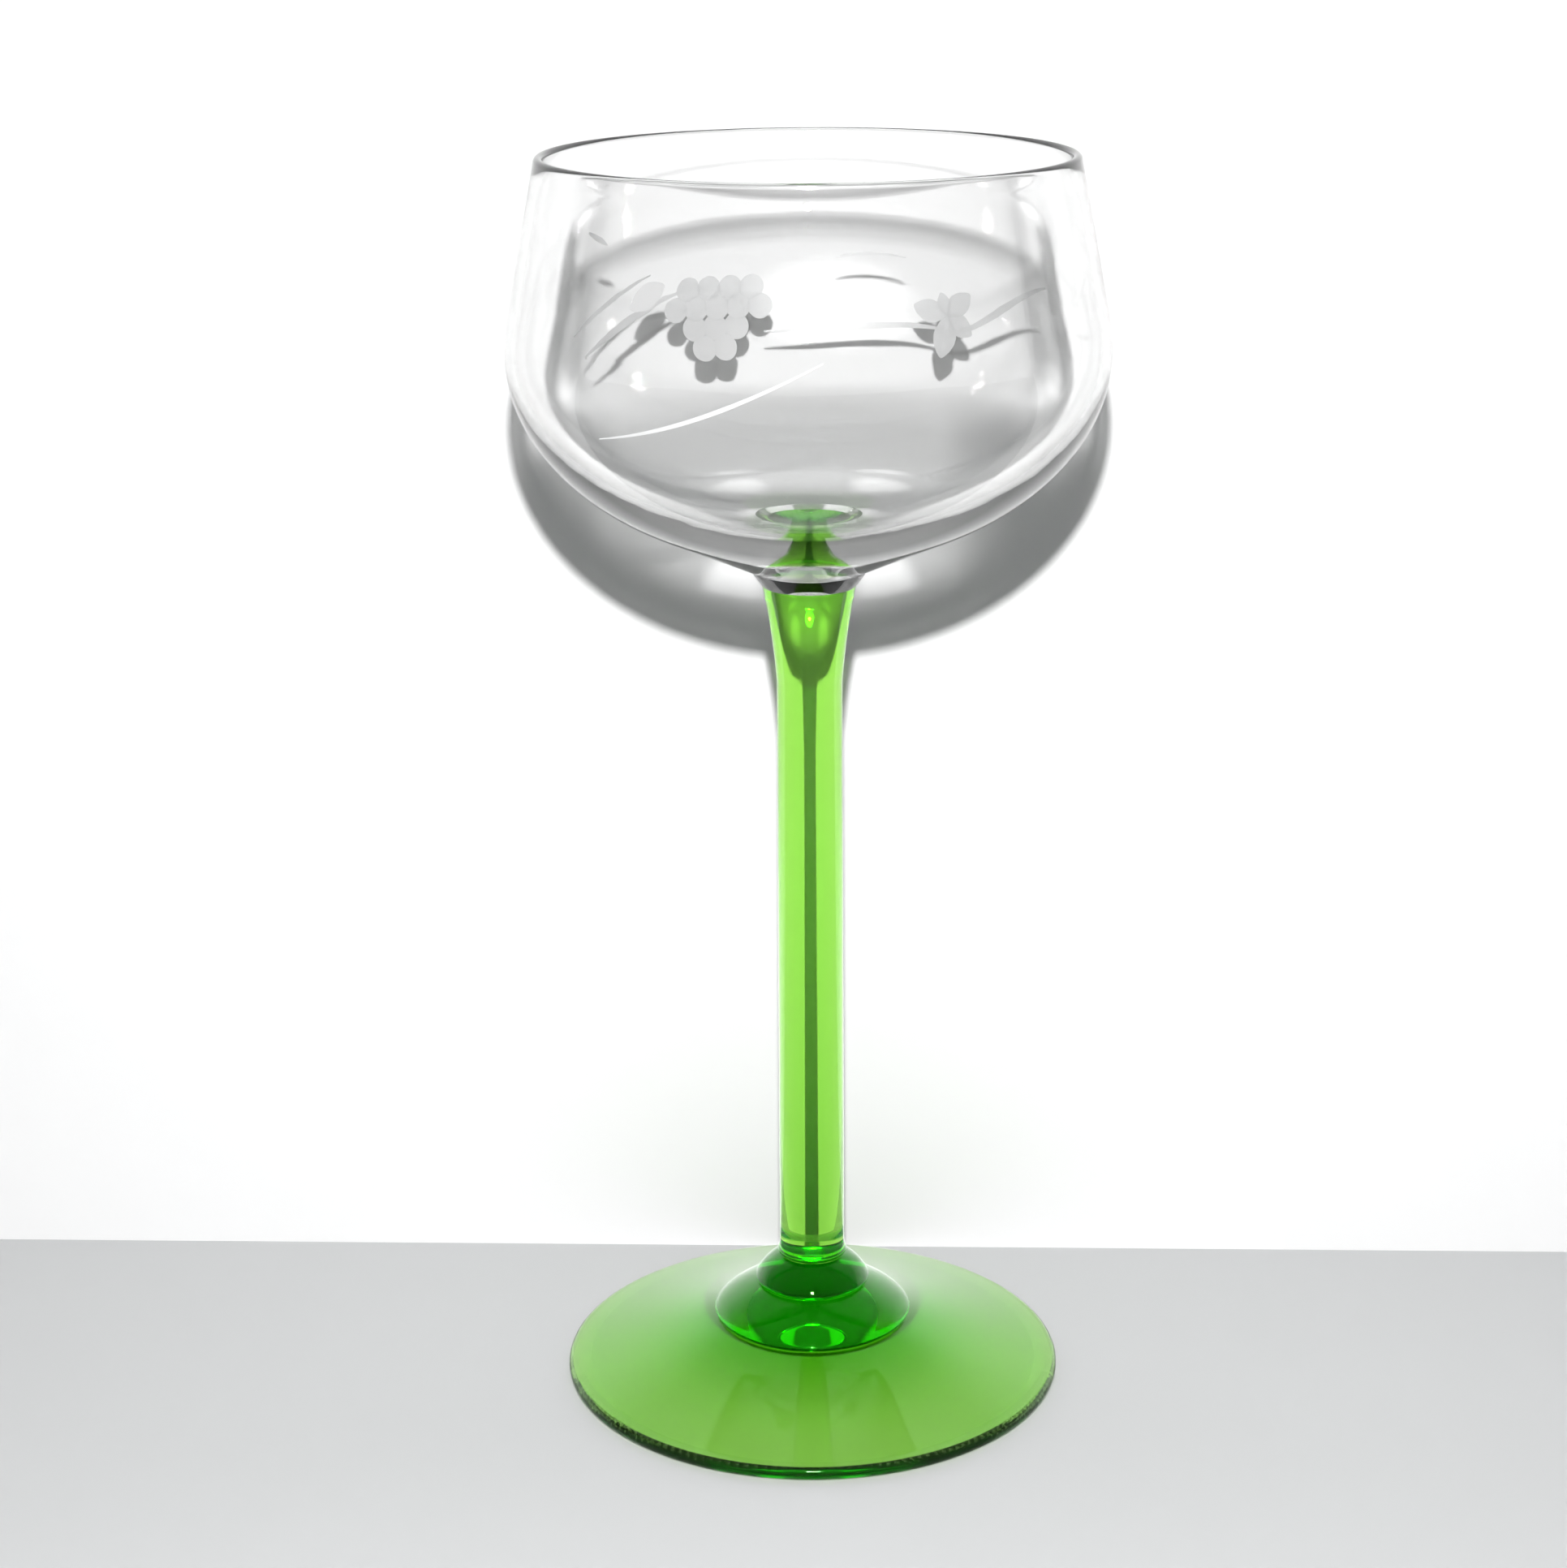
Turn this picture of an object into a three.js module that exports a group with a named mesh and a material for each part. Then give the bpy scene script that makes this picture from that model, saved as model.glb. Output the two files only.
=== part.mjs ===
// A stemmed wine glass: a clear rounded bowl on a tall green stem with a stepped base and a spread foot.
// Every piece is turned about +Z, in millimetres. The origin is the middle of the foot, at table level.
import * as THREE from "three";

// Driving dimensions of the foot
const footDiameter = 71.4;
const footEdge = 2; // thickness of the rounded edge
const footHeight = 8.4; // from the table to the knop's seat
const restRingWidth = 2.6; // flat ring that the glass stands on
const hollowHeight = 4.4; // rise of the domed hollow inside that ring

// Driving dimensions of the two stepped rings above the foot
const knopDiameter = 28.4;
const knopHeight = 5;
const collarDiameter = 16.4;
const collarHeight = 4.2;
const lipTuck = 0.5; // how far a ring draws in to its seat
const lipHeight = 0.7; // height of that undercut

// Driving dimensions of the stem
const stemLength = 99.5;
const stemBeadDiameter = 9.9; // small bead at the lower end
const stemBeadHeight = 2.4;
const stemDiameter = 9.3; // just above that bead
const stemTopDiameter = 9; // where the head begins to flare
const stemHeadDiameter = 12.8;
const stemHeadLength = 13.5;

// Driving dimensions of the clear button between the stem and the bowl
const buttonHeight = 2.2;
const neckDiameter = 16; // flat under the bowl that the button takes

// Driving dimensions of the bowl
const neckDrop = 1.7; // how far the neck hangs below the rounded body
const bellyDepth = 28.4; // from the widest part down to the end of the rounding
const bellyDiameter = 80.8;
const rimRise = 25.6; // from the widest part up to the rim
const rimDiameter = 71.8;
const bowlWall = 1.4;
const baseThickness = 4.5; // glass left in the bottom of the bowl

// Bends of the smooth stretches: where the middle pulls, as shares of the way across and up to the end
const hollowBend = { across: 0.44, up: 0.03 };
const footBend = { across: 0.65, up: 0.48 };
const knopBend = { across: 0.16, up: 0.41 };
const collarBend = { across: 0.35, up: 0.62 };
const beadBend = { across: 0.7, up: 0.35 };
const headBend = { across: 0.33, up: 0.55 };
const buttonBend = { across: 0.45, up: 0.38 };

// Fineness of the facets
const facets = 48;
const curveSteps = 7;
const bodySteps = 14;
const lipSteps = 6;

// Heights of the joints, stacked from the table up
const knopSeat = footHeight;
const collarSeat = knopSeat + knopHeight;
const stemSeat = collarSeat + collarHeight;
const buttonSeat = stemSeat + stemLength;
const bowlSeat = buttonSeat + buttonHeight;
const bellyLevel = bowlSeat + neckDrop + bellyDepth;
const rimLevel = bellyLevel + rimRise;

// Radii that two pieces share at a joint
const knopSeatRadius = knopDiameter / 2 - lipTuck;
const collarSeatRadius = collarDiameter / 2 - lipTuck;
const stemSeatRadius = stemBeadDiameter / 2 - lipTuck;
const buttonSeatRadius = stemHeadDiameter / 2;
const neckRadius = neckDiameter / 2;

function point(radius, height) {
  return new THREE.Vector2(radius, height);
}

// A smooth stretch of outline between two points.
function sweep(from, to, bend, steps) {
  const middle = point(from.x + (to.x - from.x) * bend.across, from.y + (to.y - from.y) * bend.up);
  return new THREE.QuadraticBezierCurve(from, middle, to).getPoints(steps);
}

// A stretch of an ellipse, or of a circle where both halves are alike.
function arc(centre, halfWidth, halfHeight, start, end, steps) {
  const clockwise = end < start;
  const curve = new THREE.EllipseCurve(centre.x, centre.y, halfWidth, halfHeight, start, end, clockwise);
  return curve.getPoints(steps);
}

// The angle at which a straight line from an outside point touches an ellipse that is centred on the axis.
function touchAngle(outside, level, halfWidth, halfHeight, side) {
  const across = outside.x;
  const rise = ((outside.y - level) * halfWidth) / halfHeight;
  return Math.atan2(rise, across) + side * Math.acos(halfWidth / Math.hypot(across, rise));
}

// Turns an outline that starts and ends on the axis, with its heights along +Z.
function turned(name, outline, material) {
  const geometry = new THREE.LatheGeometry(outline, facets);
  geometry.rotateX(Math.PI / 2);
  const mesh = new THREE.Mesh(geometry, material);
  mesh.name = name;
  return mesh;
}

function glass(color, opacity) {
  return new THREE.MeshStandardMaterial({ color, opacity, transparent: true, roughness: 0.04, metalness: 0 });
}

function greenGlass(opacity) {
  return glass(0x8fd24a, opacity);
}

function clearGlass(opacity) {
  return glass(0xf3f6f5, opacity);
}

// A spread disc, hollow underneath, that stands on a narrow flat ring inside its rounded edge.
function footOutline() {
  const edgeRadius = footEdge / 2;
  const edgeCentre = point(footDiameter / 2 - edgeRadius, edgeRadius);
  const hollowTop = point(0, hollowHeight);
  const ringInside = point(edgeCentre.x - restRingWidth, 0);
  const edgeTop = point(edgeCentre.x, footEdge);
  const seatEdge = point(knopSeatRadius, knopSeat);
  return [
    ...sweep(hollowTop, ringInside, hollowBend, curveSteps),
    ...arc(edgeCentre, edgeRadius, edgeRadius, -Math.PI / 2, Math.PI / 2, lipSteps),
    ...sweep(edgeTop, seatEdge, footBend, bodySteps).slice(1),
    point(0, knopSeat),
  ];
}

// A ring that is drawn in to its seat and slopes up over a shoulder to the seat of the next piece.
function ringOutline(low, high, seatRadius, nextSeatRadius, bend) {
  const lip = point(seatRadius + lipTuck, low + lipHeight);
  return [
    point(0, low),
    point(seatRadius, low),
    ...sweep(lip, point(nextSeatRadius, high), bend, curveSteps),
    point(0, high),
  ];
}

// A solid rod with a small bead at its lower end, a slight taper and a flared head.
function stemOutline() {
  const bead = point(stemBeadDiameter / 2, stemSeat + lipHeight);
  const shaftStart = point(stemDiameter / 2, stemSeat + stemBeadHeight);
  const headStart = point(stemTopDiameter / 2, buttonSeat - stemHeadLength);
  const headEnd = point(buttonSeatRadius, buttonSeat);
  return [
    point(0, stemSeat),
    point(stemSeatRadius, stemSeat),
    ...sweep(bead, shaftStart, beadBend, curveSteps),
    ...sweep(headStart, headEnd, headBend, curveSteps),
    point(0, buttonSeat),
  ];
}

// The clear button, flaring from the stem's head to the flat under the bowl.
function buttonOutline() {
  const headEdge = point(buttonSeatRadius, buttonSeat);
  const neckEdge = point(neckRadius, bowlSeat);
  return [
    point(0, buttonSeat),
    ...sweep(headEdge, neckEdge, buttonBend, curveSteps),
    point(0, bowlSeat),
  ];
}

// Outside, a cone runs up from the neck, rounds the belly and leans in to the rim. The inside follows it.
function bowlOutline() {
  const centre = point(0, bellyLevel);
  const outerWidth = bellyDiameter / 2;
  const innerWidth = outerWidth - bowlWall;
  const innerDepth = bellyLevel - bowlSeat - baseThickness;
  const lip = bowlWall / 2;
  const neckEdge = point(neckRadius, bowlSeat);
  const lipCentre = point(rimDiameter / 2 - lip, rimLevel - lip);
  const outerRim = point(lipCentre.x + lip, lipCentre.y);
  const innerRim = point(lipCentre.x - lip, lipCentre.y);
  const fromNeck = touchAngle(neckEdge, bellyLevel, outerWidth, bellyDepth, 1);
  const toRim = touchAngle(outerRim, bellyLevel, outerWidth, bellyDepth, -1);
  const fromRim = touchAngle(innerRim, bellyLevel, innerWidth, innerDepth, -1);
  return [
    point(0, bowlSeat),
    neckEdge,
    ...arc(centre, outerWidth, bellyDepth, fromNeck, toRim, bodySteps),
    ...arc(lipCentre, lip, lip, 0, Math.PI, lipSteps),
    ...arc(centre, innerWidth, innerDepth, fromRim, -Math.PI / 2, bodySteps),
  ];
}

function knopOutline() {
  return ringOutline(knopSeat, collarSeat, knopSeatRadius, collarSeatRadius, knopBend);
}

function collarOutline() {
  return ringOutline(collarSeat, stemSeat, collarSeatRadius, stemSeatRadius, collarBend);
}

const wineGlass = new THREE.Group();
wineGlass.add(
  turned("foot", footOutline(), greenGlass(0.6)),
  turned("knop", knopOutline(), greenGlass(0.75)),
  turned("collar", collarOutline(), greenGlass(0.75)),
  turned("stem", stemOutline(), greenGlass(0.65)),
  turned("bowl_button", buttonOutline(), clearGlass(0.35)),
  turned("bowl", bowlOutline(), clearGlass(0.25)),
);

export default wineGlass;
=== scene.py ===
# A stemmed wine glass: a clear engraved bowl, a tall green stem, two stepped rings and a spread foot.
from math import acos, atan2, cos, hypot, pi, radians, sin, sqrt
import bmesh
import bpy
from mathutils import Matrix, Vector
from mathutils.geometry import interpolate_bezier


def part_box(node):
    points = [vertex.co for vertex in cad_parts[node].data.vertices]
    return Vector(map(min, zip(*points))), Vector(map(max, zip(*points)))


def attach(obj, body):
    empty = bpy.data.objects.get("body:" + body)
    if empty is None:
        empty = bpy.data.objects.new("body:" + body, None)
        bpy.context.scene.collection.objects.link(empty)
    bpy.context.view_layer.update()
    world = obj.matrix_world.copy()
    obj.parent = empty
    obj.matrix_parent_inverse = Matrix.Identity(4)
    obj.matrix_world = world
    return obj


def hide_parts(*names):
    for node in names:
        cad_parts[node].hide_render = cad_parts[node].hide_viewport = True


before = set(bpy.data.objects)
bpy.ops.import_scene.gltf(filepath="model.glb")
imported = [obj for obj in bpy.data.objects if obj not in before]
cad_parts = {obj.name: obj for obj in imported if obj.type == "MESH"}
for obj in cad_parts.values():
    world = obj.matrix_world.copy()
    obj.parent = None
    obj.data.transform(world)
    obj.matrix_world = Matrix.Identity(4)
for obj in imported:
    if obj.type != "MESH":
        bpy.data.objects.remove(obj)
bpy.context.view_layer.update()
print("frame loaded:", ", ".join(sorted(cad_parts)))

mm = 0.001
turnSteps = 160         # facets round each turned piece
fuseDepth = 0.06 * mm   # how far a piece reaches into the one that it is fused to
glassBend = 1.5         # index of refraction of the glass
fusedBend = 1.00002     # light goes straight on where two pieces are fused
weldGap = 0.005 * mm    # points closer than this become one
sharpTurn = radians(38)


# Outlines are drawn in the XZ plane, with the glass's axis on Z
def spot(radius, height):
    return Vector((radius, 0, height))


def sweep(start, end, bend, steps):
    across, up = bend   # where the middle pulls, as shares of the way to the end
    middle = spot(start.x + (end.x - start.x) * across, start.z + (end.z - start.z) * up)
    return interpolate_bezier(start, start.lerp(middle, 2 / 3), end.lerp(middle, 2 / 3), end, steps)


def straight(start, end, steps):
    return [start.lerp(end, i / (steps - 1)) for i in range(steps)]


def arc(centre, halfWidth, halfHeight, first, last, steps):
    angles = [first + (last - first) * i / (steps - 1) for i in range(steps)]
    return [centre + Vector((halfWidth * cos(a), 0, halfHeight * sin(a))) for a in angles]


def touchAngle(outside, level, halfWidth, halfHeight, side):
    rise = (outside.z - level) * halfWidth / halfHeight
    return atan2(rise, outside.x) + side * acos(halfWidth / hypot(outside.x, rise))


def ramp(amount, reach):
    return min(max(amount / reach, 0), 1)       # from 0 to 1 over the reach


def nodeSize(node):
    low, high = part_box(node)
    return low.z, high.z, high.x    # foot, top and largest radius of a turned node


def addPiece(name, bm, material):
    mesh = bpy.data.meshes.new(name)
    bm.to_mesh(mesh)
    bm.free()
    mesh.materials.append(material)
    mesh.shade_smooth()
    mesh.set_sharp_from_angle(angle=sharpTurn)
    piece = bpy.data.objects.new(name, mesh)
    bpy.context.collection.objects.link(piece)
    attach(piece, "root")
    return piece


def turnedMesh(outline, lampShare, fusedBelow=None, fusedAbove=None):
    bm = bmesh.new()
    corners = [bm.verts.new(p) for p in outline]
    for lower, upper in zip(corners, corners[1:]):
        bm.edges.new((lower, upper))
    bmesh.ops.spin(bm, geom=bm.verts[:] + bm.edges[:], cent=(0, 0, 0), axis=(0, 0, 1),
                   angle=2 * pi, steps=turnSteps, use_merge=True)
    bmesh.ops.remove_doubles(bm, verts=bm.verts[:], dist=weldGap)
    bmesh.ops.recalc_face_normals(bm, faces=bm.faces[:])
    bend = bm.faces.layers.float.new("bend")
    lampPass = bm.faces.layers.float.new("lampPass")
    for face in bm.faces:
        face[lampPass] = lampShare(face.calc_center_median())
        heights = [corner.co.z for corner in face.verts]
        under = fusedBelow is not None and max(heights) < fusedBelow + weldGap
        over = fusedAbove is not None and min(heights) > fusedAbove - weldGap
        face[bend] = fusedBend if under or over else glassBend
    return bm


# Finishes
def drawnGlassGroup():
    group = bpy.data.node_groups.new("drawnGlass", "ShaderNodeTree")
    for label, start in (("Ring Size", 0.006), ("Swirl Size", 0.02), ("Haze", 0.02)):
        socket = group.interface.new_socket(label, in_out="INPUT", socket_type="NodeSocketFloat")
        socket.default_value = start
    for label in ("Height", "Roughness"):
        group.interface.new_socket(label, in_out="OUTPUT", socket_type="NodeSocketFloat")
    nodes, links = group.nodes, group.links
    given = nodes.new("NodeGroupInput")
    put = nodes.new("NodeGroupOutput")
    place = nodes.new("ShaderNodeTexCoord")
    flat = nodes.new("ShaderNodeMapping")       # squeezes the pattern into rings round the axis
    flat.inputs["Scale"].default_value = (0.25, 0.25, 1)
    links.new(place.outputs["Object"], flat.inputs["Vector"])

    def noise(vector, sizeSocket, detail):
        scale = nodes.new("ShaderNodeMath")
        scale.operation = "DIVIDE"
        scale.inputs[0].default_value = 1
        links.new(sizeSocket, scale.inputs[1])
        texture = nodes.new("ShaderNodeTexNoise")
        texture.inputs["Detail"].default_value = detail
        links.new(vector, texture.inputs["Vector"])
        links.new(scale.outputs[0], texture.inputs["Scale"])
        return texture.outputs["Fac"]

    rings = noise(flat.outputs["Vector"], given.outputs["Ring Size"], 2)
    swirl = noise(place.outputs["Object"], given.outputs["Swirl Size"], 1)
    both = nodes.new("ShaderNodeMath")
    both.operation = "ADD"
    links.new(rings, both.inputs[0])
    links.new(swirl, both.inputs[1])
    links.new(both.outputs[0], put.inputs["Height"])
    haze = nodes.new("ShaderNodeMapRange")
    haze.inputs["From Min"].default_value = 0.55
    haze.inputs["From Max"].default_value = 0.8
    links.new(swirl, haze.inputs["Value"])
    links.new(given.outputs["Haze"], haze.inputs["To Max"])
    links.new(haze.outputs["Result"], put.inputs["Roughness"])
    return group


drawnGlass = drawnGlassGroup()
grazeShades = [     # how much light passes, from face on to edge on
    (0, 0.97), (0.4, 0.93), (0.52, 0.76), (0.66, 0.42), (0.82, 0.14), (1, 0),
]


def glassMaterial(name, look):
    material = bpy.data.materials.new(name)
    material.use_nodes = True
    nodes, links = material.node_tree.nodes, material.node_tree.links
    nodes.clear()
    output = nodes.new("ShaderNodeOutputMaterial")
    glass = nodes.new("ShaderNodeBsdfPrincipled")
    glass.inputs["Base Color"].default_value = (*look["tint"], 1)
    glass.inputs["Transmission Weight"].default_value = 1
    glass.inputs["Roughness"].default_value = 0
    glass.inputs["Specular Tint"].default_value = (*look["shine"], 1)
    bend = nodes.new("ShaderNodeAttribute")
    bend.attribute_name = "bend"
    links.new(bend.outputs["Fac"], glass.inputs["IOR"])
    drawn = nodes.new("ShaderNodeGroup")
    drawn.node_tree = drawnGlass
    drawn.inputs["Ring Size"].default_value = look["ringSize"]
    drawn.inputs["Swirl Size"].default_value = look["swirlSize"]
    drawn.inputs["Haze"].default_value = look["haze"]
    ripple = nodes.new("ShaderNodeBump")
    ripple.inputs["Distance"].default_value = look["rippleHeight"]
    links.new(drawn.outputs["Height"], ripple.inputs["Height"])
    links.new(ripple.outputs["Normal"], glass.inputs["Normal"])
    if look["haze"]:        # without haze, the glass is polished all over
        links.new(drawn.outputs["Roughness"], glass.inputs["Roughness"])
    # lamps and bounced light go straight through, less so where they graze the glass
    graze = nodes.new("ShaderNodeLayerWeight")
    shade = nodes.new("ShaderNodeValToRGB")
    while len(shade.color_ramp.elements) < len(grazeShades):
        shade.color_ramp.elements.new(0.5)
    for stop, (place, share) in zip(shade.color_ramp.elements, grazeShades):
        stop.position = place
        stop.color = (share, share, share, 1)
    lampPass = nodes.new("ShaderNodeAttribute")
    lampPass.attribute_name = "lampPass"
    dim = nodes.new("ShaderNodeVectorMath")
    dim.operation = "SCALE"
    clear = nodes.new("ShaderNodeBsdfTransparent")
    path = nodes.new("ShaderNodeLightPath")
    forBounced = nodes.new("ShaderNodeMixShader")
    forLamps = nodes.new("ShaderNodeMixShader")
    links.new(graze.outputs["Facing"], shade.inputs["Fac"])
    links.new(shade.outputs["Color"], dim.inputs["Vector"])
    links.new(lampPass.outputs["Fac"], dim.inputs["Scale"])
    links.new(dim.outputs["Vector"], clear.inputs["Color"])
    links.new(path.outputs["Is Diffuse Ray"], forBounced.inputs["Fac"])
    links.new(glass.outputs["BSDF"], forBounced.inputs[1])
    links.new(clear.outputs["BSDF"], forBounced.inputs[2])
    links.new(path.outputs["Is Shadow Ray"], forLamps.inputs["Fac"])
    links.new(forBounced.outputs["Shader"], forLamps.inputs[1])
    links.new(clear.outputs["BSDF"], forLamps.inputs[2])
    links.new(forLamps.outputs["Shader"], output.inputs["Surface"])
    depth = nodes.new("ShaderNodeVolumeAbsorption")
    depth.inputs["Color"].default_value = (*look["absorbs"], 1)
    depth.inputs["Density"].default_value = look["density"]
    links.new(depth.outputs["Volume"], output.inputs["Volume"])
    return material


clearGlass = glassMaterial("clearGlass", {
    "tint": (1, 1, 1), "ringSize": 5 * mm, "swirlSize": 16 * mm, "rippleHeight": 0.02 * mm, "haze": 0.02,
    "absorbs": (0.1, 0.1, 0.1), "density": 26, "shine": (1, 1, 1),
})
greenDraw = {
    "tint": (1, 1, 1), "ringSize": 7 * mm, "swirlSize": 22 * mm, "rippleHeight": 0.01 * mm, "haze": 0,
}
stemGlass = glassMaterial("stemGlass", {
    **greenDraw, "absorbs": (0.54, 0.9, 0.01), "density": 285, "shine": (0.5, 0.9, 0.4),
})
footGlass = glassMaterial("footGlass", {
    **greenDraw, "absorbs": (0.55, 0.94, 0.01), "density": 360, "shine": (0.4, 0.85, 0.3),
})
ringGlass = glassMaterial("ringGlass", {
    **greenDraw, "absorbs": (0.5, 0.97, 0.01), "density": 420, "shine": (0.2, 0.5, 0.12),
})


def mattMaterial(name, look):
    material = bpy.data.materials.new(name)
    material.use_nodes = True
    nodes, links = material.node_tree.nodes, material.node_tree.links
    nodes.clear()
    output = nodes.new("ShaderNodeOutputMaterial")
    ground = nodes.new("ShaderNodeBsdfPrincipled")
    ground.inputs["Base Color"].default_value = (*look["tint"], 1)
    ground.inputs["Transmission Weight"].default_value = look["through"]
    ground.inputs["IOR"].default_value = look["bend"]
    place = nodes.new("ShaderNodeTexCoord")
    grain = nodes.new("ShaderNodeTexNoise")
    grain.inputs["Scale"].default_value = 1 / look["grainSize"]
    rough = nodes.new("ShaderNodeMapRange")
    rough.inputs["To Min"].default_value = look["roughness"] - look["grainRough"]
    rough.inputs["To Max"].default_value = look["roughness"] + look["grainRough"]
    links.new(place.outputs["Object"], grain.inputs["Vector"])
    links.new(grain.outputs["Fac"], rough.inputs["Value"])
    links.new(rough.outputs["Result"], ground.inputs["Roughness"])
    clear = nodes.new("ShaderNodeBsdfTransparent")
    clear.inputs["Color"].default_value = (look["lampPass"], look["lampPass"], look["lampPass"], 1)
    path = nodes.new("ShaderNodeLightPath")
    forLamps = nodes.new("ShaderNodeMixShader")
    links.new(path.outputs["Is Shadow Ray"], forLamps.inputs["Fac"])
    links.new(ground.outputs["BSDF"], forLamps.inputs[1])
    links.new(clear.outputs["BSDF"], forLamps.inputs[2])
    links.new(forLamps.outputs["Shader"], output.inputs["Surface"])
    return material


groundLook = {"bend": 1.25, "roughness": 0.5, "grainRough": 0.1, "grainSize": 0.4 * mm, "lampPass": 0.32}
engravedMatt = mattMaterial("engravedMatt", {**groundLook, "tint": (0.95, 0.955, 0.955), "through": 0.45})
# the oval leaf is real engraving; this whiter, barely see-through copy of the matt is painted light, so it
# looks lit by the lamp
engravedLitWhite = mattMaterial("engravedLitWhite", {**groundLook, "tint": (0.98, 0.98, 0.98), "through": 0.05})
print("glass finishes made")


# The share of the lamp's light that every face of a piece lets straight through
def evenPass(share):
    return lambda place: share


# Foot: a spread disc, hollow underneath, on a narrow flat ring
footShape = {
    "edge": 2 * mm, "restRing": 2.6 * mm, "hollow": 4.4 * mm, "seatTuck": 0.5 * mm,
    "hollowBend": (0.44, 0.03), "topBend": (0.65, 0.48),
    "hollowSteps": 24, "edgeSteps": 14, "topSteps": 36, "lampPass": 1,
    "underBend": 1.25, "underStart": 7 * mm,    # below, light bends less, so none is trapped round the knop
}
footLow, footTop, footRadius = nodeSize("foot")
knopLow, knopTop, knopRadius = nodeSize("knop")
footEdge = footShape["edge"] / 2
edgeCentre = spot(footRadius - footEdge, footLow + footEdge)
edgeTop = edgeCentre + Vector((0, 0, footEdge))
hollowTop = spot(0, footLow + footShape["hollow"])
hollowEnd = spot(edgeCentre.x - footShape["restRing"], footLow)
footSeat = spot(knopRadius - footShape["seatTuck"], footTop)
footOutline = [
    *sweep(hollowTop, hollowEnd, footShape["hollowBend"], footShape["hollowSteps"]),
    *arc(edgeCentre, footEdge, footEdge, -pi / 2, pi / 2, footShape["edgeSteps"]),
    *sweep(edgeTop, footSeat, footShape["topBend"], footShape["topSteps"])[1:],
    spot(0, footTop),
]
footMesh = turnedMesh(footOutline, evenPass(footShape["lampPass"]), fusedAbove=footTop)
faceBend = footMesh.faces.layers.float["bend"]
for face in footMesh.faces:
    middle = face.calc_center_median()
    if face.normal.z < 0 and footShape["underStart"] < hypot(middle.x, middle.y) < hollowEnd.x:
        face[faceBend] = footShape["underBend"]
footDisc = addPiece("footDisc", footMesh, footGlass)
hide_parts("foot")
print("foot turned")

# Rings: the knop and the collar, each drawn in to its seat and sloping up to the next piece
ringShape = {
    "tuck": 0.5 * mm, "lip": 0.7 * mm, "lipBend": (1, 0), "knopBend": (0.16, 0.41),
    "collarBend": (0.3, 0.66), "lipSteps": 8, "slopeSteps": 22,
    "lampPass": 0.45,       # solid rings and rods throw much of the light aside
}
collarLow, collarTop, collarRadius = nodeSize("collar")
stemLow, stemTop, stemHeadRadius = nodeSize("stem")
stemShape = {
    "bead": 9.9 * mm, "beadHeight": 2.4 * mm, "shaft": 9.3 * mm, "shaftTop": 9 * mm, "headLength": 13.5 * mm,
    "beadBend": (1, 0.5), "headBend": (0.33, 0.55), "beadSteps": 16, "headSteps": 24, "lampPass": 0.45,
}


def ringOutline(low, top, radius, nextSeat, bend):
    seat = radius - ringShape["tuck"]
    widest = spot(radius, low + ringShape["lip"])
    return [
        spot(0, low - fuseDepth), spot(seat, low - fuseDepth),
        *sweep(spot(seat, low), widest, ringShape["lipBend"], ringShape["lipSteps"]),
        *sweep(widest, spot(nextSeat, top), bend, ringShape["slopeSteps"])[1:],
        spot(0, top),
    ]


collarSeat = collarRadius - ringShape["tuck"]
stemSeat = stemShape["bead"] / 2 - ringShape["tuck"]
knopOutline = ringOutline(knopLow, knopTop, knopRadius, collarSeat, ringShape["knopBend"])
collarOutline = ringOutline(collarLow, collarTop, collarRadius, stemSeat, ringShape["collarBend"])
knopMesh = turnedMesh(knopOutline, evenPass(ringShape["lampPass"]), knopLow, knopTop)
collarMesh = turnedMesh(collarOutline, evenPass(ringShape["lampPass"]), collarLow, collarTop)
knopRing = addPiece("knopRing", knopMesh, ringGlass)
collarRing = addPiece("collarRing", collarMesh, ringGlass)
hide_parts("knop")
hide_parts("collar")
print("rings turned")

# Stem: a solid rod with a bead below and a flared head
headStart = spot(stemShape["shaftTop"] / 2, stemTop - stemShape["headLength"])
headEnd = spot(stemHeadRadius, stemTop)
beadEdge = spot(stemShape["bead"] / 2, stemLow + ringShape["lip"])
shaftStart = spot(stemShape["shaft"] / 2, stemLow + stemShape["beadHeight"])
stemOutline = [
    spot(0, stemLow - fuseDepth), spot(stemSeat, stemLow - fuseDepth),
    *sweep(spot(stemSeat, stemLow), beadEdge, ringShape["lipBend"], ringShape["lipSteps"]),
    *sweep(beadEdge, shaftStart, stemShape["beadBend"], stemShape["beadSteps"])[1:],
    *sweep(headStart, headEnd, stemShape["headBend"], stemShape["headSteps"]),
    spot(stemHeadRadius, stemTop + fuseDepth), spot(0, stemTop + fuseDepth),
]
stemMesh = turnedMesh(stemOutline, evenPass(stemShape["lampPass"]), stemLow, stemTop)
stemRod = addPiece("stemRod", stemMesh, stemGlass)
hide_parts("stem")
print("stem turned")

# Button: the clear flare between the stem's head and the bowl
buttonShape = {"bend": (0.45, 0.38), "steps": 16, "lampPass": 0.62}
buttonLow, buttonTop, neckRadius = nodeSize("bowl_button")
buttonStart = spot(stemHeadRadius, buttonLow)
buttonOutline = [
    spot(0, buttonLow),
    *sweep(buttonStart, spot(neckRadius, buttonTop), buttonShape["bend"], buttonShape["steps"]),
    spot(neckRadius, buttonTop + fuseDepth), spot(0, buttonTop + fuseDepth),
]
buttonMesh = turnedMesh(buttonOutline, evenPass(buttonShape["lampPass"]), buttonLow, buttonTop)
bowlButton = addPiece("bowlButton", buttonMesh, clearGlass)
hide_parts("bowl_button")
print("button turned")

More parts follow.
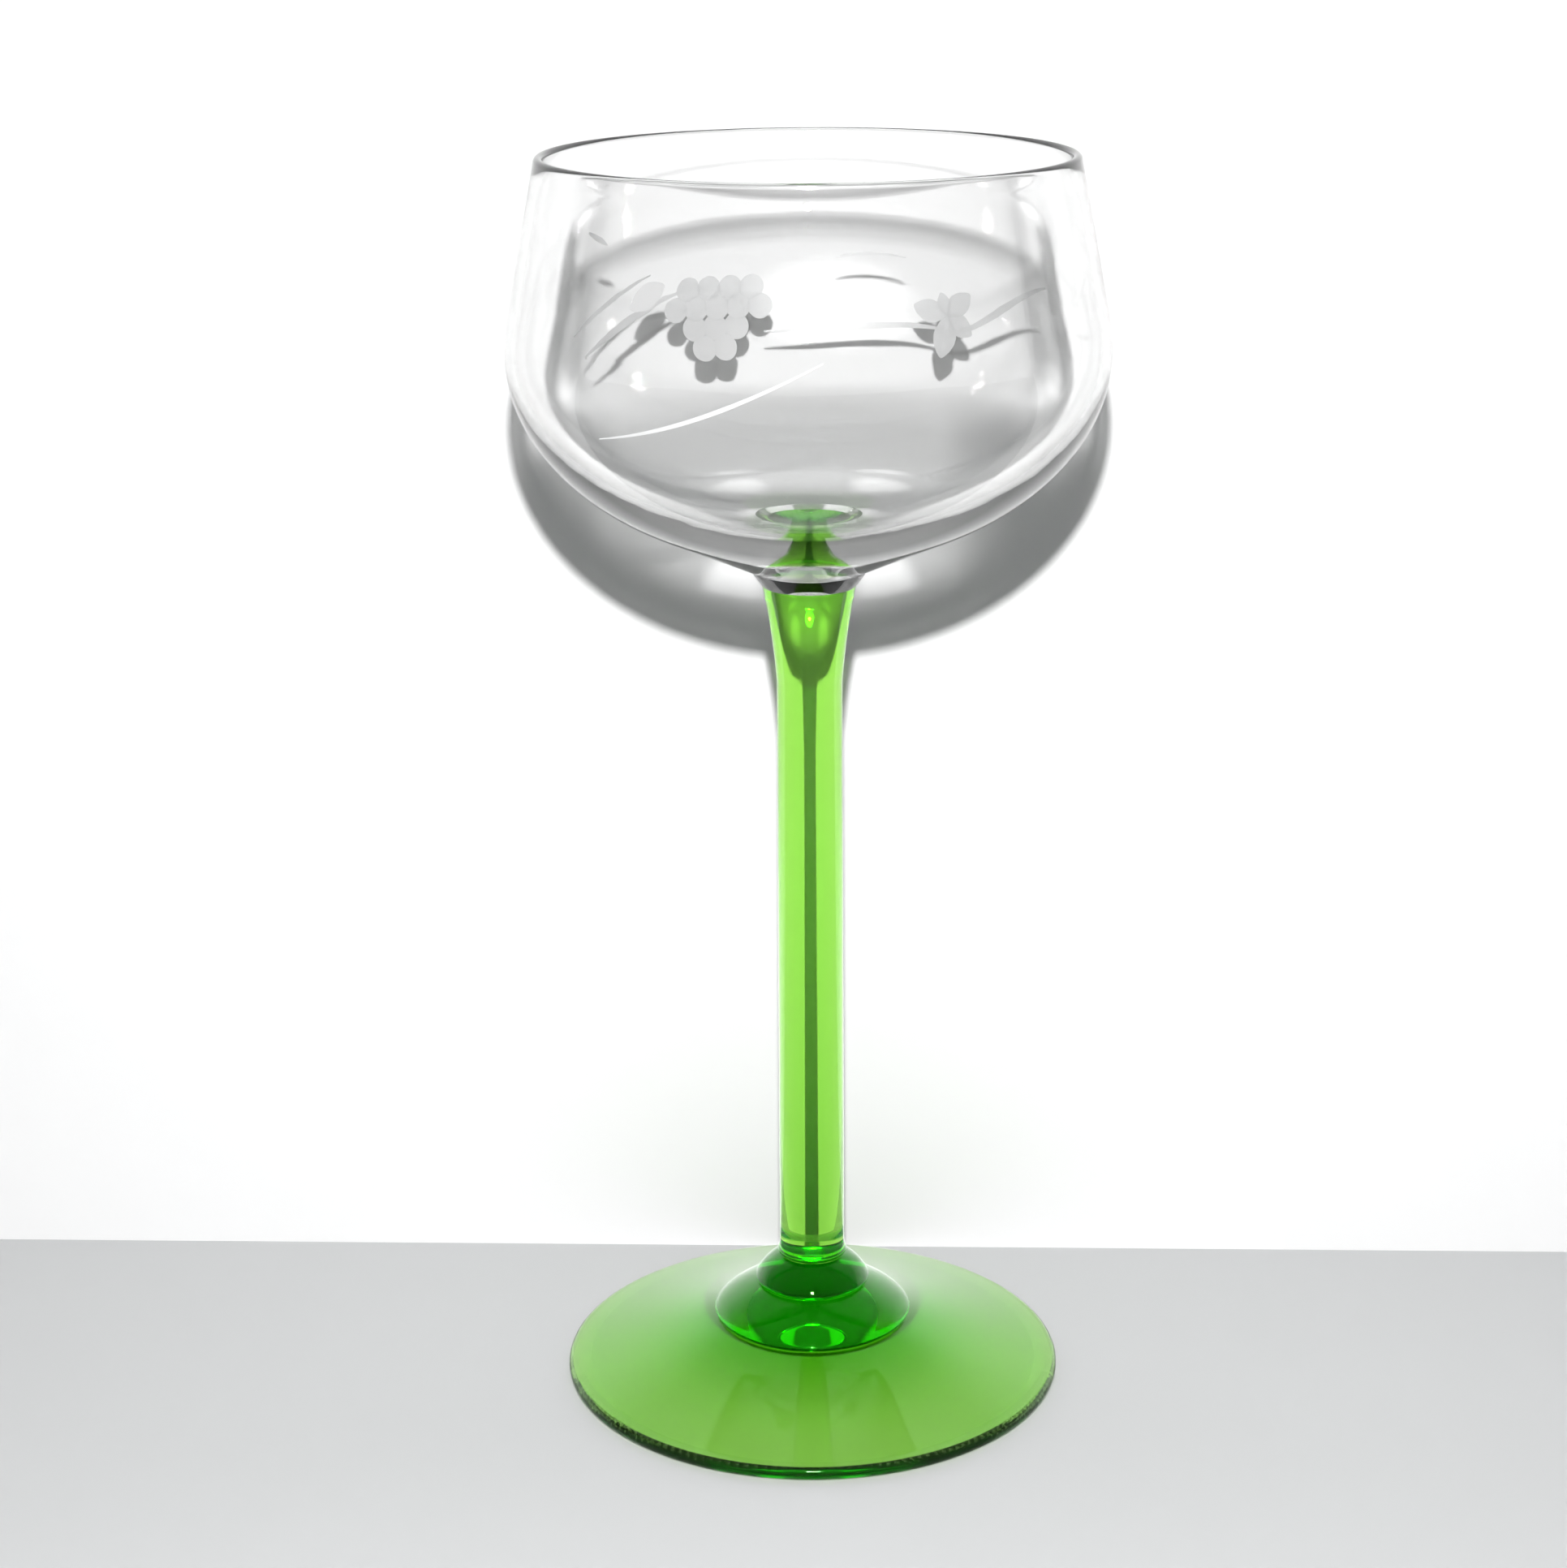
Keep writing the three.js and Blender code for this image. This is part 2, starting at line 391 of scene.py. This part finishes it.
# Bowl: a cone runs up from the neck, rounds the belly and leans in to a fire-polished rim
bowlShape = {
    "neckDrop": 1.7 * mm, "bellyDepth": 28.4 * mm, "rim": 71.8 * mm, "wall": 1.4 * mm, "base": 4.5 * mm,
    "bodySteps": 56, "rimSteps": 12,
}
bowlLow, rimLevel, bellyRadius = nodeSize("bowl")
bellyDepth = bowlShape["bellyDepth"]
bellyLevel = bowlLow + bowlShape["neckDrop"] + bellyDepth
innerRadius = bellyRadius - bowlShape["wall"]
innerDepth = bellyLevel - bowlLow - bowlShape["base"]
lip = bowlShape["wall"] / 2
neckEdge = spot(neckRadius, bowlLow)
lipCentre = spot(bowlShape["rim"] / 2 - lip, rimLevel - lip)
outerRim = lipCentre + Vector((lip, 0, 0))
innerRim = lipCentre - Vector((lip, 0, 0))
fromNeck = touchAngle(neckEdge, bellyLevel, bellyRadius, bellyDepth, 1)
toRim = touchAngle(outerRim, bellyLevel, bellyRadius, bellyDepth, -1)
fromRim = touchAngle(innerRim, bellyLevel, innerRadius, innerDepth, -1)
outerArc = arc(spot(0, bellyLevel), bellyRadius, bellyDepth, fromNeck, toRim, bowlShape["bodySteps"])
innerArc = arc(spot(0, bellyLevel), innerRadius, innerDepth, fromRim, -pi / 2, bowlShape["bodySteps"])
rimSteps = bowlShape["rimSteps"]
bowlOutline = [
    spot(0, bowlLow), neckEdge,
    *outerArc, *straight(outerArc[-1], outerRim, rimSteps)[1:-1],
    *arc(lipCentre, lip, lip, 0, pi, rimSteps), *straight(innerRim, innerArc[0], rimSteps)[1:-1],
    *innerArc,
]

# The bowl's own shares of the lamp's light, set face by face, which paint its shadow on the board: painted
# shadow, with painted bright spots
bowlShade = {
    "clearBand": 8.5 * mm, "clearShare": 1.06,                      # hardly any shadow just below the rim
    "arcShare": 0.6, "wallShare": 0.98, "bandFade": 4.5 * mm,       # then a dark arc, on the back wall
    "lowDrop": 8 * mm, "lowFade": 8 * mm, "lowShare": 0.68,         # darker below the belly
    "baseGlow": 9 * mm, "baseGain": 0.28,                           # lighter again at the base
    "sideShift": 0.1, "sideStart": 0.6, "sideFade": 0.25, "sideLoss": 0.55,     # painted dark lobes low at the sides
    "edgeStart": 0.88, "edgeFade": 0.08, "edgeGain": 1.6,           # painted lighter shadow at the outermost sides above them
    "liftDrop": 9 * mm, "liftFade": 5 * mm,
    "patchEnd": 1.25, "patchFade": 0.5,
    "lightPatches": (      # painted pools of light on the board: centre, half width and half height, share
        ((4.4 * mm, 152.5 * mm), (11.5 * mm, 6.5 * mm), 1.16),
        ((-11.5 * mm, 124.6 * mm), (5 * mm, 1.4 * mm), 1.7),
        ((11.5 * mm, 124.6 * mm), (5 * mm, 1.4 * mm), 1.7),
    ),
}


def bowlPass(place):
    shade = bowlShade
    bandEdge = rimLevel - shade["clearBand"]
    edge = ramp(abs(place.x) / hypot(place.x, place.y) - shade["edgeStart"], shade["edgeFade"])
    if place.z > bandEdge:
        return shade["clearShare"] * (1 + shade["edgeGain"] * edge)
    atBack = place.y > 0
    below = ramp(bandEdge - place.z, shade["bandFade"])
    wall = shade["arcShare"] + (shade["wallShare"] - shade["arcShare"]) * below if atBack else 1
    side = ramp(abs(place.x / bellyRadius + shade["sideShift"]) - shade["sideStart"], shade["sideFade"])
    base = ramp(bowlLow + shade["baseGlow"] - place.z, shade["baseGlow"] / 2)
    lowShare = shade["lowShare"] + shade["baseGain"] * base - shade["sideLoss"] * side
    low = ramp(bellyLevel - shade["lowDrop"] - place.z, shade["lowFade"])
    lift = ramp(place.z - bellyLevel + shade["liftDrop"], shade["liftFade"])
    share = (wall + (lowShare - wall) * low) * (1 + shade["edgeGain"] * edge * lift)
    if not atBack:
        return share
    for (across, height), (halfWidth, halfHeight), bright in shade["lightPatches"]:
        away = hypot((place.x - across) / halfWidth, (place.z - height) / halfHeight)
        share += (bright - share) * ramp(shade["patchEnd"] - away, shade["patchFade"])
    return share


bowlMesh = turnedMesh(bowlOutline, bowlPass, fusedBelow=bowlLow)
bowlShell = addPiece("bowlShell", bowlMesh, clearGlass)
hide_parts("bowl")
print("bowl turned")

# Engraving: a matt vine round the belly, drawn flat in degrees from the back and height, then wrapped round
vineShape = {
    "lift": 0.04 * mm, "depth": 0.05 * mm,
    "grape": 1.9 * mm, "grapeStep": (3.3 * mm, 2.9 * mm), "rows": (4, 5, 3, 2),
    "bunchTop": (-18.6, 152 * mm), "bunchLean": -0.35 * mm,
    "leafHeart": (31, 148.2 * mm),
    "lobes": ((168, 5.6 * mm), (105, 3.6 * mm), (42, 5.4 * mm), (-30, 5.2 * mm), (-92, 6.2 * mm)),
    "ovalLeaf": (-35.5, 151.6 * mm), "ovalTurn": 28, "ovalLength": 6.6 * mm,
    "lobeWidth": 0.62, "lobePoint": 0.45, "strokeSteps": 24, "strokeEnd": 0.25,
    "grapeSides": 20, "lobeSides": 24,
}
vineStrokes = [     # width, then start, two pulls and end
    (1.0 * mm, (-9, 145.3), (6, 144.8), (18, 147.4), (33, 146)),
    (1.1 * mm, (33, 146), (40, 146.4), (47, 152.5), (60, 154.5)),
    (1.2 * mm, (-27, 151.9), (-34, 150.8), (-43, 147.4), (-54, 144.4)),
    (0.5 * mm, (6.4, 156.2), (11, 157), (17, 157), (22.1, 156.4)),
    (0.8 * mm, (-55, 162.3), (-53, 161.6), (-50, 160.8), (-48, 160)),
    (0.8 * mm, (-57, 147.6), (-50, 150), (-43, 152.8), (-35, 154.8)),
    (0.55 * mm, (222, 143), (205, 145), (194, 148.4), (178, 154)),
]


def bowlRadius(height):
    touch = outerArc[-1]
    if height > touch.z:
        return touch.x + (outerRim.x - touch.x) * (height - touch.z) / (outerRim.z - touch.z)
    return bellyRadius * sqrt(1 - ((height - bellyLevel) / bellyDepth) ** 2)


def flat(degrees, height):
    return Vector((radians(degrees) * bellyRadius, height, 0))


def engravedPiece(name, bm, material=engravedMatt):
    for corner in bm.verts:
        angle = corner.co.x / bellyRadius
        height = corner.co.y
        radius = bowlRadius(height) + vineShape["lift"]
        corner.co = (radius * sin(angle), radius * cos(angle), height)
    bmesh.ops.recalc_face_normals(bm, faces=bm.faces[:])
    bmesh.ops.solidify(bm, geom=bm.faces[:], thickness=-vineShape["depth"])
    addPiece(name, bm, material)


def addDisc(bm, centre, radius):
    bmesh.ops.create_circle(bm, cap_ends=True, cap_tris=True, segments=vineShape["grapeSides"],
                            radius=radius, matrix=Matrix.Translation(centre))


def addLobe(bm, heart, degrees, length):
    sides = vineShape["lobeSides"]
    made = bmesh.ops.create_circle(bm, cap_ends=True, cap_tris=True, segments=sides, radius=1)["verts"]
    turn = Matrix.Rotation(radians(degrees), 3, "Z")
    for corner in made:
        along, across = corner.co.x, corner.co.y
        across *= vineShape["lobeWidth"] * (1 - vineShape["lobePoint"] * along * along)   # pointed ends
        corner.co = heart + turn @ Vector(((along + 1) * length / 2, across * length / 2, 0))


def addStroke(bm, width, pulls):
    steps, thin = vineShape["strokeSteps"], vineShape["strokeEnd"]
    line = [flat(degrees, height * mm) for degrees, height in pulls]
    path = interpolate_bezier(*line, steps + 1)
    made = bmesh.ops.create_grid(bm, x_segments=steps, y_segments=1, size=1)["verts"]
    for corner in made:
        step = round((corner.co.x + 1) * steps / 2)
        ahead = path[min(step + 1, steps)] - path[max(step - 1, 0)]
        side = Vector((-ahead.y, ahead.x, 0)).normalized()
        share = thin + (1 - thin) * sin(pi * step / steps)      # thin at both ends
        corner.co = path[step] + side * corner.co.y * width / 2 * share


grapesMesh = bmesh.new()
bunchTop = flat(*vineShape["bunchTop"])
stepAcross, stepDown = vineShape["grapeStep"]
for row, count in enumerate(vineShape["rows"]):
    for i in range(count):
        across = (i - (count - 1) / 2) * stepAcross + row * vineShape["bunchLean"]
        addDisc(grapesMesh, bunchTop + Vector((across, -row * stepDown, 0)), vineShape["grape"])
leavesMesh = bmesh.new()
for degrees, length in vineShape["lobes"]:
    addLobe(leavesMesh, flat(*vineShape["leafHeart"]), degrees, length)
ovalTurn, ovalLength = vineShape["ovalTurn"], vineShape["ovalLength"]
ovalAhead = Matrix.Rotation(radians(ovalTurn), 3, "Z") @ Vector((ovalLength / 2, 0, 0))
ovalStart = flat(*vineShape["ovalLeaf"]) - ovalAhead
ovalMesh = bmesh.new()
addLobe(ovalMesh, ovalStart, ovalTurn, ovalLength)
strokesMesh = bmesh.new()
for width, *pulls in vineStrokes:
    addStroke(strokesMesh, width, pulls)
engravedPiece("engravedGrapes", grapesMesh)
engravedPiece("engravedLeaves", leavesMesh)
engravedPiece("engravedStrokes", strokesMesh)
engravedPiece("engravedOval", ovalMesh, engravedLitWhite)
print("vine engraved")


# Stage: a pale table, a white board that leans back, lamps above the camera and soft room light
stageLook = {
    "tableColor": (0.7, 0.71, 0.715), "boardColor": (0.92, 0.92, 0.92), "reach": 1.6,
    "mottleScale": 9, "mottleShade": 0.97,
    "boardBehind": 38.2 * mm, "boardLean": radians(7.1), "boardYaw": radians(-1.96),
    "roomLight": 0.01, "roomFront": 0.5, "roomBack": 0.7, "paintedBoardGlow": 0.9, "paintedGlowEnd": 70 * mm,
    "lampAt": (-4.3 * mm, -425.5 * mm, 305.9 * mm), "lampAim": (0, 0, 120 * mm),
    "lampSize": 12 * mm, "lampPower": 2.9, "glintSize": 57 * mm, "glintPower": 1.2,
}


def paleMaterial(name, color, seenThrough=False):
    material = bpy.data.materials.new(name)
    material.use_nodes = True
    nodes, links = material.node_tree.nodes, material.node_tree.links
    nodes.clear()
    output = nodes.new("ShaderNodeOutputMaterial")
    matt = nodes.new("ShaderNodeBsdfDiffuse")
    mottle = nodes.new("ShaderNodeTexNoise")
    mottle.inputs["Scale"].default_value = stageLook["mottleScale"]
    tone = nodes.new("ShaderNodeValToRGB")
    tone.color_ramp.elements[0].color = (*[c * stageLook["mottleShade"] for c in color], 1)
    tone.color_ramp.elements[1].color = (*color, 1)
    place = nodes.new("ShaderNodeTexCoord")
    links.new(place.outputs["Object"], mottle.inputs["Vector"])
    links.new(mottle.outputs["Fac"], tone.inputs["Fac"])
    links.new(tone.outputs["Color"], matt.inputs["Color"])
    if not seenThrough:
        links.new(matt.outputs["BSDF"], output.inputs["Surface"])
        return material
    behind = nodes.new("ShaderNodeNewGeometry")
    gone = nodes.new("ShaderNodeBsdfTransparent")
    choose = nodes.new("ShaderNodeMixShader")
    path = nodes.new("ShaderNodeLightPath")
    mirrored = nodes.new("ShaderNodeMath")
    mirrored.operation = "SUBTRACT"
    mirrored.use_clamp = True
    rise = nodes.new("ShaderNodeSeparateXYZ")
    low = nodes.new("ShaderNodeMapRange")       # painted reflection: low down, the board glows for reflected rays only, so it looks brighter in reflections
    low.inputs["From Min"].default_value = stageLook["paintedGlowEnd"]
    low.inputs["From Max"].default_value = stageLook["paintedGlowEnd"] / 2
    low.inputs["To Max"].default_value = stageLook["paintedBoardGlow"]
    # painted reflection: an emission that only reflected rays see, strongest low on the board
    sheen = nodes.new("ShaderNodeMath")
    sheen.operation = "MULTIPLY"
    glow = nodes.new("ShaderNodeEmission")
    bright = nodes.new("ShaderNodeAddShader")
    links.new(path.outputs["Is Glossy Ray"], mirrored.inputs[0])
    links.new(path.outputs["Is Transmission Ray"], mirrored.inputs[1])
    links.new(place.outputs["Object"], rise.inputs["Vector"])
    links.new(rise.outputs["Z"], low.inputs["Value"])
    links.new(mirrored.outputs[0], sheen.inputs[0])
    links.new(low.outputs["Result"], sheen.inputs[1])
    links.new(sheen.outputs[0], glow.inputs["Strength"])
    links.new(matt.outputs["BSDF"], bright.inputs[0])
    links.new(glow.outputs["Emission"], bright.inputs[1])
    links.new(behind.outputs["Backfacing"], choose.inputs["Fac"])
    links.new(bright.outputs["Shader"], choose.inputs[1])
    links.new(gone.outputs["BSDF"], choose.inputs[2])
    links.new(choose.outputs["Shader"], output.inputs["Surface"])
    return material


def stagePlane(name, turn, shift, material):
    bm = bmesh.new()
    bmesh.ops.create_grid(bm, x_segments=1, y_segments=1, size=stageLook["reach"])
    bmesh.ops.transform(bm, matrix=Matrix.Translation(shift) @ turn, verts=bm.verts[:])
    mesh = bpy.data.meshes.new(name)
    bm.to_mesh(mesh)
    bm.free()
    mesh.materials.append(material)
    plane = bpy.data.objects.new(name, mesh)
    bpy.context.collection.objects.link(plane)


tablePale = paleMaterial("tablePale", stageLook["tableColor"])
boardWhite = paleMaterial("boardWhite", stageLook["boardColor"], seenThrough=True)
boardTilt = Matrix.Rotation(pi / 2 - stageLook["boardLean"], 4, "X")
boardTurn = Matrix.Rotation(stageLook["boardYaw"], 4, "Z") @ boardTilt
boardShift = Vector((0, stageLook["boardBehind"], 0)) + boardTurn @ Vector((0, stageLook["reach"], 0))
stagePlane("tableTop", Matrix.Identity(4), Vector((0, 0, 0)), tablePale)
stagePlane("backBoard", boardTurn, boardShift, boardWhite)


def discLamp(name, size, power):
    data = bpy.data.lights.new(name, "AREA")
    data.shape = "DISK"
    data.size = size
    data.energy = power
    lamp = bpy.data.objects.new(name, data)
    lamp.location = stageLook["lampAt"]
    line = Vector(stageLook["lampAim"]) - Vector(stageLook["lampAt"])
    lamp.rotation_euler = line.to_track_quat("-Z", "Y").to_euler()
    bpy.context.collection.objects.link(lamp)
    return lamp


discLamp("frontLamp", stageLook["lampSize"], stageLook["lampPower"])
glintLamp = discLamp("glintLamp", stageLook["glintSize"], stageLook["glintPower"])
glintLamp.visible_diffuse = False   # only for the bright dots on the glass


def softRoom():
    world = bpy.data.worlds.new("softRoom")
    world.use_nodes = True
    nodes, links = world.node_tree.nodes, world.node_tree.links
    sky = nodes["Background"]
    sky.inputs["Color"].default_value = (1, 1, 1, 1)
    place = nodes.new("ShaderNodeTexCoord")
    split = nodes.new("ShaderNodeSeparateXYZ")
    level = nodes.new("ShaderNodeMapRange")     # dim behind the camera, bright beside and behind the glass
    level.inputs["From Min"].default_value = -1
    level.inputs["From Max"].default_value = 0
    level.inputs["To Min"].default_value = stageLook["roomFront"]
    level.inputs["To Max"].default_value = stageLook["roomBack"]
    path = nodes.new("ShaderNodeLightPath")
    seen = path.outputs["Is Camera Ray"]
    for kind in ("Is Glossy Ray", "Is Transmission Ray"):
        either = nodes.new("ShaderNodeMath")
        either.operation = "MAXIMUM"
        links.new(seen, either.inputs[0])
        links.new(path.outputs[kind], either.inputs[1])
        seen = either.outputs[0]
    strength = nodes.new("ShaderNodeMix")
    strength.inputs["A"].default_value = stageLook["roomLight"]
    links.new(place.outputs["Generated"], split.inputs["Vector"])
    links.new(split.outputs["Y"], level.inputs["Value"])
    links.new(seen, strength.inputs["Factor"])
    links.new(level.outputs["Result"], strength.inputs["B"])
    links.new(strength.outputs["Result"], sky.inputs["Strength"])
    bpy.context.scene.world = world


softRoom()

# Camera: a little above the rim, looking down at the glass
cameraPose = {
    "at": (-3.69 * mm, -414.77 * mm, 217.34 * mm), "pitchDown": radians(17.232), "roll": -0.0069,
    "lens": 71.815, "sensor": 36, "nearest": 10 * mm,
}
cameraData = bpy.data.cameras.new("mainCamera")
cameraData.sensor_width = cameraPose["sensor"]
cameraData.lens = cameraPose["lens"]
cameraData.clip_start = cameraPose["nearest"]
mainCamera = bpy.data.objects.new("mainCamera", cameraData)
mainCamera.location = cameraPose["at"]
cameraTilt = Matrix.Rotation(pi / 2 - cameraPose["pitchDown"], 3, "X")
cameraRoll = Matrix.Rotation(cameraPose["roll"], 3, "Z")
mainCamera.rotation_euler = (cameraTilt @ cameraRoll).to_euler()
bpy.context.collection.objects.link(mainCamera)

scene = bpy.context.scene
scene.camera = mainCamera
scene.view_settings.view_transform = "Standard"
glassBounces = 32       # enough for light that runs about inside the glass
scene.cycles.max_bounces = glassBounces
scene.cycles.transmission_bounces = glassBounces
scene.cycles.transparent_max_bounces = glassBounces
scene.cycles.caustics_reflective = False
scene.cycles.caustics_refractive = False
scene.cycles.sample_clamp_indirect = 0      # keeps the lamp's glints on the glass
print("stage, lamps and camera set")
